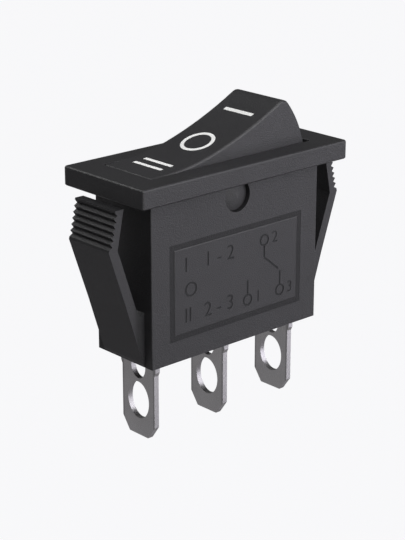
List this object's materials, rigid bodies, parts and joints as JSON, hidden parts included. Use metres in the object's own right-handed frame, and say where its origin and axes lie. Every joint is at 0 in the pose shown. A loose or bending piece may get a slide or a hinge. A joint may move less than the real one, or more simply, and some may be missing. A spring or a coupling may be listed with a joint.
{
  "type": "rocker switch",
  "caption": "Narrow snap-in rocker switch with three positions, two side latches and three solder lugs.",
  "frame": {"origin": "middle of the plane in which the bezel rests on its panel, on the centre line of the panel cut-out", "axes": "+X along the bezel towards the raised end of the rocker, +Y across it away from the label frame, +Z out of the panel; the solder lugs point along -Z"},
  "size_m": [0.0354, 0.0136, 0.0372],
  "materials": {
    "housing_plastic": "black nylon, fine spark-eroded grain",
    "rocker_plastic": "black nylon, fine satin grain",
    "plunger_nylon": "natural nylon",
    "spring_steel": "drawn spring wire",
    "lever_brass": "bare rolled strip",
    "contact_silver": "silver alloy, bright",
    "terminal_plated": "brass strip, satin tin plating"
  },
  "bodies": {
    "case": {"housing": "housing_plastic", "terminal_one": "terminal_plated", "terminal_two": "terminal_plated", "terminal_common": "terminal_plated", "fixed_contact_one": "contact_silver", "fixed_contact_two": "contact_silver"},
    "rocker": {"rocker": "rocker_plastic", "plunger_spring": "spring_steel"},
    "plunger": {"plunger": "plunger_nylon"},
    "lever": {"contact_lever": "lever_brass", "moving_contact_one": "contact_silver", "moving_contact_two": "contact_silver"}
  },
  "joints": [
    {"name": "rocker_tilt", "type": "hinge", "parent": "case", "child": "rocker", "pos_m": [0, 0, -0.00185], "axis": [0, 1, 0], "range_deg": [0, 32]},
    {"name": "lever_rock", "type": "hinge", "parent": "case", "child": "lever", "pos_m": [0, 0, -0.01463], "axis": [0, 1, 0], "range_deg": [-18, 0]},
    {"name": "plunger_slide", "type": "slide", "parent": "rocker", "child": "plunger", "axis": [0.2756, 0, -0.9613], "range_m": [-0.001, 0], "stiffness_N_per_m": 300, "springref_m": 0.002, "deforming": ["plunger_spring"]}
  ],
  "couplings": [
    {"joint": "lever_rock", "follows": "rocker_tilt", "ratio": -0.5625}
  ]
}
